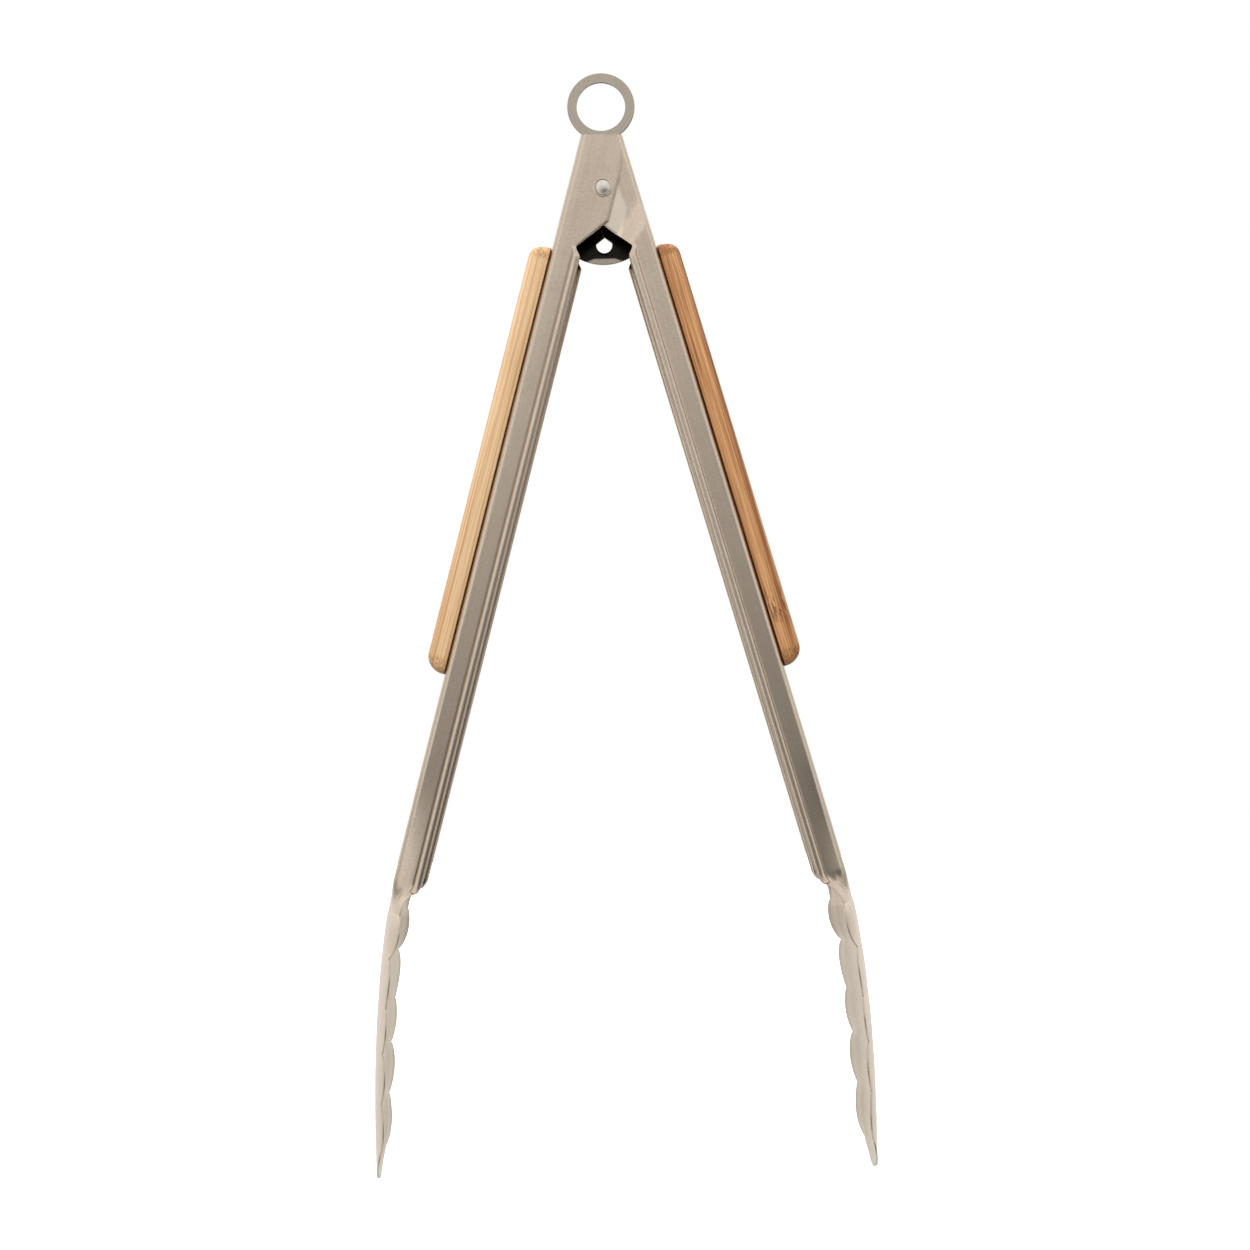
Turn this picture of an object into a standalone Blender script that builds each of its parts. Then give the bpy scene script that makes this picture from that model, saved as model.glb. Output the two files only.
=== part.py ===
"""Spring loaded kitchen tongs: two stamped channel arms with scalloped heads,
wooden grips, a riveted pivot with a torsion spring, and a sliding lock plate
with a hanging ring.

The tongs hang upright and open.  +Z is up, the pivot axis runs along Y, and
the front is towards -Y.  The origin is the bearing point at the top of the
ring's hole.  Every length is in metres.
"""
from math import acos, atan, atan2, cos, hypot, pi, radians, sin, sqrt

import bmesh
import bpy
from mathutils import Vector

MM = 0.001
GAP = 0.3 * MM                     # clearance between neighbouring pieces

# Arms.  u runs down an arm from the top of its web, v runs inwards from the
# web's outer face, and y runs across the channel.
OPEN_ANGLE = radians(15.45)        # each arm from the centre line, fully open
SHEET = 0.9 * MM
CHANNEL_WIDTH = 25.0 * MM
BEND_RADIUS = 1.5 * MM
FLANGE_DEPTH = 8.2 * MM
OUTER_WING_DEPTH = 13.3 * MM
INNER_WING_DEPTH = 12.4 * MM
PIVOT_U = 12.7 * MM
PIVOT_V = 9.5 * MM
WING_TOP = 8.0 * MM                # the wing's top corner is round above this
WING_TOP_DROP = 1.3 * MM
CUT_START = 21.3 * MM              # the slanted cut runs through this point,
CUT_START_DEPTH = 13.3 * MM        # at this depth, to where it meets the flange
CUT_END = 30.3 * MM
CUT_DEPTH = 6.4 * MM
HEM_START = 33.0 * MM
HEM_HEIGHT = 0.75 * MM
STEP_IN = SHEET + GAP              # takes one arm's wings behind the other's
STEP_END = 19.0 * MM               # where this starts to fade at the bend
STEP_END_SLOPE = 0.875             # and how much lower away from the web
STEP_FADE = 7.5 * MM
TOP_SLOPE = 0.276                  # the top edge is level when the arm is open
TOP_CORNER_DEPTH = 6.0 * MM        # beyond this depth the top corner is round
TOP_CORNER_CURVE = 120.0           # per metre
TOP_LEAN_END = 10.0 * MM           # the lean has died out this far down

# Heads.
LIP_END = 213.8 * MM               # the hem stops here and the edge drops away
LIP_END_RUN = 0.4 * MM
PULL_START = 176.0 * MM            # towards the neck the walls lean to the web
PULL_END = 213.0 * MM
PULL = 1.1 * MM
NECK_DROP_POWER = 2.4
NECK_START = 211.0 * MM
NECK_END = 220.6 * MM
HEAD_BEND = 223.0 * MM
HEAD_BEND_ROUND = 3.0 * MM
HEAD_SLOPE = 0.124
HEAD_CURVE = 1.3                  # per metre, steepens the head to its tip
HEAD_TWIST = 0.068                 # the right head faces a little to the front
DISH_POWER = 2.2
TOOTH_SKEW = 0.82
TOOTH_ROUND = 0.75
TIP_U = 293.8 * MM
# Each notch and each crest: place along the arm, half width, depth of edge.
NOTCHES = tuple(
    (u * MM, half * MM, depth * MM)
    for u, half, depth in (
        (220.6, 14.6, 4.1),
        (232.6, 15.6, 2.9),
        (246.1, 15.6, 3.2),
        (258.3, 14.8, 2.75),
        (272.0, 13.2, 2.6),
        (286.2, 9.6, 1.75),
    )
)
CRESTS = tuple(
    (half * MM, depth * MM)
    for half, depth in (
        (18.2, 5.1),
        (19.0, 3.85),
        (18.6, 3.8),
        (17.0, 3.85),
        (14.2, 3.3),
    )
)

# Grips.
GRIP_START = 32.2 * MM
GRIP_END = 153.7 * MM
GRIP_THICKNESS = 5.55 * MM
GRIP_HALF_WIDTH = 12.3 * MM
GRIP_TOP_RADIUS = 3.8 * MM
GRIP_BOTTOM_RADIUS = 5.0 * MM
GRIP_EDGE_RADIUS = 2.2 * MM
SCREW_PLACES = (("upper", 52.0 * MM), ("lower", 134.0 * MM))
SCREW_RADIUS = 1.3 * MM
SCREW_HOLE_RADIUS = SCREW_RADIUS + GAP
SCREW_HEAD_RADIUS = 2.6 * MM
SCREW_HEAD_HEIGHT = 1.3 * MM
SCREW_REACH = 3.6 * MM             # how far the screw goes into the wood

# Lock plate.  Heights are from the pivot.
PLATE = 1.2 * MM
RING_HEIGHT = 24.8 * MM
RING_RADIUS = 9.45 * MM
RING_HOLE_RADIUS = 7.0 * MM
NECK_HALF_WIDTH = 4.4 * MM
SHOULDER_TOP = 0.4 * MM
SHOULDER_BOTTOM = -11.0 * MM
FOOT_HALF_WIDTH = 7.7 * MM
FOOT_BOTTOM = -19.7 * MM
FOOT_ARC = 14.0 * MM
SLOT_RADIUS = 2.4 * MM
SLOT_BOTTOM = -14.8 * MM

# Pivot.
RIVET_RADIUS = 1.6 * MM
RIVET_HOLE_RADIUS = 1.7 * MM
RIVET_HEAD_RADIUS = 2.05 * MM
RIVET_HEAD_HEIGHT = 0.9 * MM
SLEEVE_RADIUS = 2.1 * MM
SPACER_RADIUS = 3.2 * MM
WIRE_RADIUS = 0.5 * MM
COIL_RADIUS = 4.05 * MM
COIL_START_Y = 2.2 * MM
COIL_END_Y = 7.7 * MM
COIL_TURNS = 4
LEG_END_U = 36.0 * MM

PIVOT = Vector((0.0, 0.0, -(RING_HEIGHT + RING_HOLE_RADIUS)))
WING_INNER_Y = CHANNEL_WIDTH / 2 - SHEET - STEP_IN
ROUND_STEPS = 32

# Cross-section of the flange: how far down it each point lies, as a part of
# the way from the bend to the edge, and how much of the hem's height it has.
FLANGE_STEPS = (0.0, 0.23, 0.34, 0.66, 0.72, 0.94, 1.0)
HEM_SHAPE = (0.0, 0.0, 0.0, 0.0, 1.0, 1.0, 0.4)
DISH_STEPS = (0.0, 0.32, 0.5, 0.6, 0.68, 0.75, 0.82, 0.9, 0.96, 1.0)


def clear_scene():
    for item in list(bpy.data.objects):
        bpy.data.objects.remove(item, do_unlink=True)


def material(name, color, roughness, metallic):
    made = bpy.data.materials.new(name)
    made.use_nodes = True
    shader = made.node_tree.nodes["Principled BSDF"]
    shader.inputs["Base Color"].default_value = (*color, 1.0)
    shader.inputs["Roughness"].default_value = roughness
    shader.inputs["Metallic"].default_value = metallic
    return made


def smooth_step(low, high, value):
    t = min(1.0, max(0.0, (value - low) / (high - low)))
    return t * t * (3.0 - 2.0 * t)


def blend(a, b, t):
    return a + (b - a) * t


def add_object(name, mesh, finish, parent=None):
    made = bpy.data.objects.new(name, mesh)
    mesh.materials.clear()
    mesh.materials.append(finish)
    bpy.context.scene.collection.objects.link(made)
    made.parent = parent
    return made


def add_empty(name, location, rotation=(0.0, 0.0, 0.0)):
    made = bpy.data.objects.new(name, None)
    made.location = location
    made.rotation_euler = rotation
    bpy.context.scene.collection.objects.link(made)
    return made


def mesh_from(name, points, faces, smooth_angle=35.0):
    mesh = bpy.data.meshes.new(name)
    mesh.from_pydata(points, [], faces)
    work = bmesh.new()
    work.from_mesh(mesh)
    bmesh.ops.recalc_face_normals(work, faces=work.faces)
    work.to_mesh(mesh)
    work.free()
    mesh.shade_smooth()
    mesh.set_sharp_from_angle(angle=radians(smooth_angle))
    return mesh


def cut(target, cutter):
    """Take the cutter out of the target with an exact Boolean."""
    cutter.hide_render = True
    cutter.display_type = "WIRE"
    modifier = target.modifiers.new(cutter.name, "BOOLEAN")
    modifier.operation = "DIFFERENCE"
    modifier.solver = "EXACT"
    modifier.object = cutter


def lathe_mesh(name, profile, steps=ROUND_STEPS):
    """Turn a closed profile of (radius, height) points about the Z axis."""
    points = []
    rings = []
    for radius, height in profile:
        if radius == 0.0:
            rings.append([len(points)] * steps)
            points.append((0.0, 0.0, height))
            continue
        rings.append(list(range(len(points), len(points) + steps)))
        for k in range(steps):
            angle = 2 * pi * (k + 0.5) / steps
            points.append((radius * cos(angle), radius * sin(angle), height))
    faces = []
    count = len(rings)
    for i in range(count):
        here = rings[i]
        after = rings[(i + 1) % count]
        for k in range(steps):
            near = (k + 1) % steps
            corners = []
            for corner in (here[k], here[near], after[near], after[k]):
                if corner not in corners:
                    corners.append(corner)
            if len(corners) > 2:
                faces.append(corners)
    return mesh_from(name, points, faces)


def cylinder(name, radius, low, high, steps=ROUND_STEPS):
    """A plain round cutter along Z, from low to high."""
    profile = ((0.0, low), (radius, low), (radius, high), (0.0, high))
    mesh = lathe_mesh(name, profile, steps)
    made = bpy.data.objects.new(name, mesh)
    bpy.context.scene.collection.objects.link(made)
    return made


# ---------------------------------------------------------------- arms


def edge_depth(u, wing):
    """Depth of the flange's free edge: wing, slanted cut, then hemmed lip."""
    if u < WING_TOP:
        return wing - WING_TOP_DROP * (1.0 - sqrt(u / WING_TOP))
    if u <= CUT_END:
        down = (u - CUT_START) / (CUT_END - CUT_START)
        return min(wing, blend(CUT_START_DEPTH, CUT_DEPTH, down))
    if u <= LIP_END:
        return blend(CUT_DEPTH, FLANGE_DEPTH, smooth_step(CUT_END, HEM_START, u))
    left = max(0.0, (NECK_END - u) / (NECK_END - LIP_END))
    return blend(NOTCHES[0][2], FLANGE_DEPTH, left ** NECK_DROP_POWER)


def hem_share(u):
    """Share of the hem's height: none on the wing and none beyond the lip."""
    ended = smooth_step(LIP_END, LIP_END + LIP_END_RUN, u)
    return smooth_step(CUT_END, HEM_START, u) * (1.0 - ended)


def half_channel(u, v, inner):
    """Half the channel's width at (u, v); the inner wings' end is narrower."""
    if not inner:
        return CHANNEL_WIDTH / 2
    end = STEP_END + STEP_END_SLOPE * max(0.0, v - BEND_RADIUS)
    return CHANNEL_WIDTH / 2 - STEP_IN * (1.0 - smooth_step(end, end + STEP_FADE, u))


def top_shift(v):
    """How far the top edge leans along the arm, with its inner corner round."""
    corner = max(0.0, v - TOP_CORNER_DEPTH)
    return -TOP_SLOPE * v + TOP_CORNER_CURVE * corner * corner


def scallop(u):
    """Half width and edge depth of the head at u: round teeth, sharp notches."""
    last = NOTCHES[-1]
    if u >= last[0]:
        t = (u - last[0]) / (TIP_U - last[0])
        return last[1] * sqrt(max(0.0, 1.0 - t * t)), last[2] * (1.0 - t)
    for start, end, crest in zip(NOTCHES, NOTCHES[1:], CRESTS):
        if u <= end[0]:
            break
    t = max(0.0, (u - start[0]) / (end[0] - start[0]))
    swell = sin(pi * t ** TOOTH_SKEW) ** TOOTH_ROUND
    half = blend(blend(start[1], end[1], t), crest[0], swell)
    depth = blend(blend(start[2], end[2], t), crest[1], swell)
    return half, depth


def spine(u):
    """How far the head's spine has turned inwards from the web's line."""
    x = u - HEAD_BEND
    ramp = 0.5 * (x + sqrt(x * x + HEAD_BEND_ROUND ** 2))
    return HEAD_SLOPE * ramp + HEAD_CURVE * ramp * ramp


def wall_pull(u, v):
    """How far the channel's wall leans in at depth v, most of all at the web."""
    left = max(0.0, 1.0 - v / FLANGE_DEPTH)
    return PULL * smooth_step(PULL_START, PULL_END, u) * left * left


def pulled(u, points):
    """Points of a half section after the wall's lean, the web's ones in step."""
    flat = max(y for y, v in points if v <= SHEET)
    return [(y - wall_pull(u, v) * min(1.0, y / flat), v) for y, v in points]


def channel_section(u, within):
    """Outer and inner points of half a channel section, from web to edge."""
    depth = edge_depth(u, INNER_WING_DEPTH if within else OUTER_WING_DEPTH)
    outer = [(0.0, 0.0)]
    inner = [(0.0, SHEET)]
    across = half_channel(u, BEND_RADIUS, within) - BEND_RADIUS
    small = BEND_RADIUS - SHEET
    for angle in (0.0, pi / 4):
        outer.append((
            across + BEND_RADIUS * sin(angle),
            BEND_RADIUS * (1.0 - cos(angle)),
        ))
        inner.append((across + small * sin(angle), BEND_RADIUS - small * cos(angle)))
    hem_on = HEM_HEIGHT * hem_share(u)
    for part, hem in zip(FLANGE_STEPS, HEM_SHAPE):
        v = blend(BEND_RADIUS, depth, part)
        wall = half_channel(u, v, within)
        outer.append((wall + hem * hem_on, v))
        inner.append((wall - SHEET, v))
    return pulled(u, outer), pulled(u, inner)


def dish_section(u):
    """Outer and inner points of half a head section, from spine to edge."""
    half, depth = scallop(u)
    start = spine(u)
    outer = []
    inner = []
    for part in DISH_STEPS:
        y = half * part
        v = start + depth * part ** DISH_POWER
        slope = atan(DISH_POWER * depth * part ** (DISH_POWER - 1.0) / half)
        outer.append((y, v))
        inner.append((y - SHEET * sin(slope), v + SHEET * cos(slope)))
    return outer, inner


def arm_rows():
    """Stations along the arm, closer together where its shape changes."""
    rows = [0.0, 1.5, 4.0, 8.0, 14.0, 19.0, 21.3, 23.0, 24.4, 26.0, 28.0, 30.3]
    rows += [31.6, 33.0]
    rows += [80.0, 140.0, 176.0, 188.0, 196.0, 204.0, 211.0, 212.5, 213.8, 214.2, 215.0]
    rows += [216.0, 217.4, 219.0]
    rows = [row * MM for row in rows]
    for start, end in zip(NOTCHES, NOTCHES[1:]):
        for part in (0.0, 0.1, 0.3, 0.5, 0.7, 0.9):
            rows.append(blend(start[0], end[0], part))
    for part in (0.0, 0.4, 0.7, 0.88, 0.97):
        rows.append(blend(NOTCHES[-1][0], TIP_U, part))
    return rows


def arm_section(u, within):
    """Half section at u: channel above the neck, dish below, blended between."""
    share = smooth_step(NECK_START, NECK_END, u)
    if share == 0.0:
        return channel_section(u, within)
    channel = channel_section(u, within)
    dish = dish_section(max(u, NOTCHES[0][0]))
    mixed = []
    for first, second in zip(channel, dish):
        mixed.append([
            (blend(a[0], b[0], share), blend(a[1], b[1], share))
            for a, b in zip(first, second)
        ])
    return mixed


def arm_mesh(name, within):
    """Loft the arm's sheet from its sections, about the pivot as origin."""
    points = []
    loops = []
    for u in arm_rows():
        twist = HEAD_TWIST * smooth_step(NECK_START, HEAD_BEND, u) if within else 0.0
        outer, inner = arm_section(u, within)
        outline = [(-y, v) for y, v in reversed(outer[1:])] + outer
        outline += list(reversed(inner)) + [(-y, v) for y, v in inner[1:]]
        loops.append(range(len(points), len(points) + len(outline)))
        for y, v in outline:
            lean = top_shift(v) * max(0.0, 1.0 - u / TOP_LEAN_END)
            points.append((v - twist * y - PIVOT_V, y, PIVOT_U - u - lean))
    faces = []
    count = len(loops[0])
    for here, after in zip(loops, loops[1:]):
        for k in range(count):
            near = (k + 1) % count
            faces.append((here[k], here[near], after[near], after[k]))
    for end in (loops[0], loops[-1]):
        for k in range(count // 2 - 1):
            faces.append((end[k], end[k + 1], end[count - 2 - k], end[count - 1 - k]))
    return mesh_from(name, points, faces, 30.0)


def build_arm(side, axis, within, steel):
    arm = add_object(side + "_arm", arm_mesh(side + "_arm", within), steel, axis)
    reach = CHANNEL_WIDTH
    hole = cylinder(side + "_rivet_hole", RIVET_HOLE_RADIUS, -reach, reach)
    hole.rotation_euler = (pi / 2, 0.0, 0.0)
    hole.parent = axis
    cut(arm, hole)
    for place, u in SCREW_PLACES:
        hole = cylinder(
            side + "_" + place + "_screw_hole", SCREW_HOLE_RADIUS, -2 * MM, 3 * MM, 16
        )
        place_on_arm(hole, axis, u, 0.0)
        cut(arm, hole)
    return arm


def place_on_arm(made, axis, u, v):
    """Stand a turned piece on the arm, its own +Z pointing inwards."""
    made.parent = axis
    made.location = (v - PIVOT_V, 0.0, PIVOT_U - u)
    made.rotation_euler = (0.0, pi / 2, 0.0)


# ---------------------------------------------------------------- grips


def grip_outline():
    """Side outline of a grip as (u, height) from one end to the other."""
    top = []
    bottom = []
    for step in range(6):
        angle = pi / 2 * step / 5
        top.append((
            GRIP_START + GRIP_TOP_RADIUS * (1.0 - sin(angle)),
            GRIP_THICKNESS - GRIP_TOP_RADIUS * (1.0 - cos(angle)),
        ))
        bottom.append((
            GRIP_END - GRIP_BOTTOM_RADIUS * (1.0 - sin(angle)),
            GRIP_THICKNESS - GRIP_BOTTOM_RADIUS * (1.0 - cos(angle)),
        ))
    return list(reversed(top)) + bottom


def grip_mesh(name):
    """Loft the grip's rounded bar along the arm, flat against the web."""
    points = []
    loops = []
    for u, height in grip_outline():
        from_end = min(u - GRIP_START, GRIP_END - u, GRIP_EDGE_RADIUS)
        inset = GRIP_EDGE_RADIUS - sqrt(
            max(0.0, GRIP_EDGE_RADIUS ** 2 - (GRIP_EDGE_RADIUS - from_end) ** 2)
        )
        half = GRIP_HALF_WIDTH - inset
        radius = min(GRIP_EDGE_RADIUS, 0.8 * height)
        outline = [(-half, 0.0)]
        for step in range(5):
            angle = pi / 2 * step / 4
            outline.append((
                -half + radius * (1.0 - cos(angle)),
                height - radius * (1.0 - sin(angle)),
            ))
        outline += [(-y, h) for y, h in reversed(outline)]
        loops.append(range(len(points), len(points) + len(outline)))
        for y, h in outline:
            points.append((-GAP - h - PIVOT_V, y, PIVOT_U - u))
    faces = [list(loops[0]), list(loops[-1])]
    count = len(loops[0])
    for here, after in zip(loops, loops[1:]):
        for k in range(count):
            near = (k + 1) % count
            faces.append((here[k], here[near], after[near], after[k]))
    return mesh_from(name, points, faces, 50.0)


def build_grip(side, axis, wood, steel):
    grip = add_object(side + "_grip", grip_mesh(side + "_grip"), wood, axis)
    for place, u in SCREW_PLACES:
        pocket = cylinder(
            side + "_" + place + "_screw_pocket",
            SCREW_HOLE_RADIUS,
            -SCREW_REACH - 2 * GAP,
            2 * MM,
            16,
        )
        place_on_arm(pocket, axis, u, 0.0)
        cut(grip, pocket)
        name = side + "_grip_screw_" + place
        screw = add_object(name, screw_mesh(name), steel, axis)
        place_on_arm(screw, axis, u, 0.0)


def screw_mesh(name):
    """Round-headed screw: head inside the channel, shank through the web."""
    seat = SHEET + GAP
    profile = (
        (0.0, -SCREW_REACH),
        (0.5 * SCREW_RADIUS, -SCREW_REACH),
        (SCREW_RADIUS, -SCREW_REACH + SCREW_RADIUS),
        (SCREW_RADIUS, seat),
        (SCREW_HEAD_RADIUS, seat),
        (SCREW_HEAD_RADIUS, seat + 0.5 * SCREW_HEAD_HEIGHT),
        (0.6 * SCREW_HEAD_RADIUS, seat + SCREW_HEAD_HEIGHT),
        (0.0, seat + SCREW_HEAD_HEIGHT),
    )
    return lathe_mesh(name, profile, 16)


# ---------------------------------------------------------------- pivot


def along_y(made, parent):
    """Turn a lathed piece so that its +Z points to the front, along -Y."""
    made.parent = parent
    made.rotation_euler = (pi / 2, 0.0, 0.0)


def rivet_mesh(name):
    """Rivet with a domed head in front and a formed head behind."""
    seat = CHANNEL_WIDTH / 2 + GAP
    profile = [(0.0, -seat - RIVET_HEAD_HEIGHT)]
    for step in range(1, 5):
        angle = pi / 2 * step / 4
        profile.append((
            RIVET_HEAD_RADIUS * sin(angle), -seat - RIVET_HEAD_HEIGHT * cos(angle),
        ))
    profile += [(RIVET_RADIUS, -seat), (RIVET_RADIUS, seat)]
    for step in range(4, 0, -1):
        angle = pi / 2 * step / 4
        profile.append((
            RIVET_HEAD_RADIUS * sin(angle), seat + RIVET_HEAD_HEIGHT * cos(angle),
        ))
    profile.append((0.0, seat + RIVET_HEAD_HEIGHT))
    return lathe_mesh(name, profile)


def tube_mesh(name, inner, outer, low, high):
    profile = ((inner, low), (outer, low), (outer, high), (inner, high))
    return lathe_mesh(name, profile)


def spring_points():
    """Path of the wire: left leg, coil over the top, right leg."""
    across = PIVOT_V - SHEET - GAP - WIRE_RADIUS
    down = LEG_END_U - PIVOT_U
    end_x = across * cos(OPEN_ANGLE) + down * sin(OPEN_ANGLE)
    end_z = across * sin(OPEN_ANGLE) - down * cos(OPEN_ANGLE)
    spread = acos(COIL_RADIUS / hypot(end_x, end_z))
    first = atan2(end_z, -end_x) + 2 * pi - spread
    last = atan2(end_z, end_x) + spread
    sweep = first - last + 2 * pi * COIL_TURNS
    steps = 16 * (COIL_TURNS + 1)
    path = [(-end_x, COIL_START_Y, end_z)]
    for k in range(steps + 1):
        angle = first - sweep * k / steps
        y = blend(COIL_START_Y, COIL_END_Y, k / steps)
        path.append((COIL_RADIUS * cos(angle), y, COIL_RADIUS * sin(angle)))
    path.append((end_x, COIL_END_Y, end_z))
    return path


def build_spring(parent, steel):
    curve = bpy.data.curves.new("torsion_spring", "CURVE")
    curve.dimensions = "3D"
    curve.bevel_depth = WIRE_RADIUS
    curve.bevel_resolution = 1
    curve.use_fill_caps = True
    line = curve.splines.new("POLY")
    path = spring_points()
    line.points.add(len(path) - 1)
    for point, place in zip(line.points, path):
        point.co = (*place, 1.0)
    add_object("torsion_spring", curve, steel, parent)


def build_pivot(parent, steel):
    rivet = add_object("pivot_rivet", rivet_mesh("pivot_rivet"), steel)
    along_y(rivet, parent)
    reach = WING_INNER_Y - GAP
    tube = tube_mesh("pivot_sleeve", RIVET_RADIUS + GAP, SLEEVE_RADIUS, -reach, reach)
    along_y(add_object("pivot_sleeve", tube, steel), parent)
    near = PLATE / 2 + GAP
    tube = tube_mesh("spacer_tube", SLEEVE_RADIUS + GAP, SPACER_RADIUS, near, reach)
    along_y(add_object("spacer_tube", tube, steel), parent)
    build_spring(parent, steel)


# ---------------------------------------------------------------- lock plate


def plate_outline():
    """Outline of ring, neck, sloping shoulders and round foot, in X and Z."""
    half = []
    start = atan2(-sqrt(RING_RADIUS ** 2 - NECK_HALF_WIDTH ** 2), NECK_HALF_WIDTH)
    for step in range(21):
        angle = blend(pi / 2, start, step / 20)
        half.append((RING_RADIUS * cos(angle), RING_HEIGHT + RING_RADIUS * sin(angle)))
    half.append((NECK_HALF_WIDTH, SHOULDER_TOP))
    half.append((FOOT_HALF_WIDTH, SHOULDER_BOTTOM))
    spread = atan2(FOOT_HALF_WIDTH, sqrt(FOOT_ARC ** 2 - FOOT_HALF_WIDTH ** 2))
    for step in range(7):
        angle = spread * (1.0 - step / 6)
        half.append((
            FOOT_ARC * sin(angle), FOOT_BOTTOM + FOOT_ARC * (1.0 - cos(angle)),
        ))
    return half + [(-x, z) for x, z in reversed(half[1:-1])]


def slot_outline():
    """Outline of the slot: round ends joined by straight sides."""
    points = []
    for centre, first in ((0.0, 0.0), (SLOT_BOTTOM, pi)):
        for step in range(13):
            angle = first + pi * step / 12
            points.append((SLOT_RADIUS * cos(angle), centre + SLOT_RADIUS * sin(angle)))
    return points


def slab_mesh(name, outline, thickness):
    """Extrude an outline in X and Z to a slab centred on Y = 0."""
    count = len(outline)
    points = [(x, -thickness / 2, z) for x, z in outline]
    points += [(x, thickness / 2, z) for x, z in outline]
    faces = [list(range(count)), list(range(2 * count - 1, count - 1, -1))]
    for k in range(count):
        near = (k + 1) % count
        faces.append((k, near, near + count, k + count))
    return mesh_from(name, points, faces)


def build_lock_plate(parent, steel):
    mesh = slab_mesh("lock_plate", plate_outline(), PLATE)
    plate = add_object("lock_plate", mesh, steel, parent)
    hole = cylinder("ring_hole", RING_HOLE_RADIUS, -2 * PLATE, 2 * PLATE, 40)
    along_y(hole, parent)
    hole.location = (0.0, 0.0, RING_HEIGHT)
    cut(plate, hole)
    slot = bpy.data.objects.new(
        "slot", slab_mesh("slot", slot_outline(), 4 * PLATE)
    )
    bpy.context.scene.collection.objects.link(slot)
    slot.parent = parent
    cut(plate, slot)


def main():
    clear_scene()
    steel = material("brushed_steel", (0.46, 0.43, 0.39), 0.38, 1.0)
    bright = material("polished_steel", (0.75, 0.74, 0.72), 0.15, 1.0)
    dark = material("spring_steel", (0.22, 0.21, 0.2), 0.4, 1.0)
    wood = material("bamboo", (0.62, 0.38, 0.18), 0.6, 0.0)

    pivot = add_empty("pivot_axis", PIVOT)
    build_lock_plate(pivot, steel)
    build_pivot(pivot, bright)
    for side, turn, within in (("left", 0.0, False), ("right", pi, True)):
        axis = add_empty(side + "_arm_axis", PIVOT, (0.0, OPEN_ANGLE, turn))
        build_arm(side, axis, within, steel)
        build_grip(side, axis, wood, dark)
    bpy.data.objects["torsion_spring"].data.materials[0] = dark


main()
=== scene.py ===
"""Looks of the spring loaded kitchen tongs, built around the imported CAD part.

Fine meshes stand for the CAD nodes.  The arms and grips are made in arm
coordinates: u runs down the arm from the top of its web, v inwards from the
web's outer face, y across the channel.  Lengths are in metres.
"""
from math import acos, atan, atan2, cos, hypot, pi, radians, sin, sqrt

import bmesh
import bpy
from mathutils import Euler, Matrix, Vector
from mathutils.geometry import tessellate_polygon


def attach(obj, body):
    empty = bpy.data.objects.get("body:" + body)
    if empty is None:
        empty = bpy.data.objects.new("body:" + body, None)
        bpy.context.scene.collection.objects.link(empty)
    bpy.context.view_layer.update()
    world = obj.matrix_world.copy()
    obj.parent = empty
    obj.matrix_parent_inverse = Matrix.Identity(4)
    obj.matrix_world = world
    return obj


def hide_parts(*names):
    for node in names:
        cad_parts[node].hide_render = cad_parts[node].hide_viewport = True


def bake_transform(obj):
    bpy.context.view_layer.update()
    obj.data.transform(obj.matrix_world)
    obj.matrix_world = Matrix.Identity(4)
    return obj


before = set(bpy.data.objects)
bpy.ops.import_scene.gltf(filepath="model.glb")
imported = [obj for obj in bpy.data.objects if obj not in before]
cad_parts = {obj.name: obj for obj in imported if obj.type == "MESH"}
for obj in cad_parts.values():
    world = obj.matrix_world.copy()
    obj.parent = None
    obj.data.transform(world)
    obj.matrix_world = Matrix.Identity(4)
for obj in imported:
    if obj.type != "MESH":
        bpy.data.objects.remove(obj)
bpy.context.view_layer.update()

MM = 0.001
GAP = 0.3 * MM

OPEN_ANGLE = radians(15.45)
SHEET = 0.9 * MM
CHANNEL_WIDTH = 25.0 * MM
BEND_RADIUS = 1.5 * MM
FLANGE_DEPTH = 8.2 * MM
OUTER_WING_DEPTH = 13.3 * MM
INNER_WING_DEPTH = 12.4 * MM
PIVOT_U = 12.7 * MM
PIVOT_V = 9.5 * MM
WING_TOP = 8.0 * MM
WING_TOP_DROP = 1.3 * MM
CUT_START = 21.3 * MM
CUT_START_DEPTH = 13.3 * MM
CUT_END = 30.3 * MM
CUT_DEPTH = 6.4 * MM
CUT_CORNER = 0.15 * MM
HEM_START = 33.0 * MM
HEM_HEIGHT = 0.75 * MM
EDGE_ROUND = 0.2 * MM
STEP_IN = SHEET + 0.15 * MM        # takes one arm's wings behind the other's
STEP_END = 19.0 * MM               # where this starts to fade at the bend
STEP_END_SLOPE = 0.875             # and how much lower away from the web
STEP_FADE = 7.5 * MM
TOP_SLOPE = 0.276
TOP_CORNER_DEPTH = 6.0 * MM
TOP_CORNER_CURVE = 120.0
TOP_LEAN_END = 10.0 * MM

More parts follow.
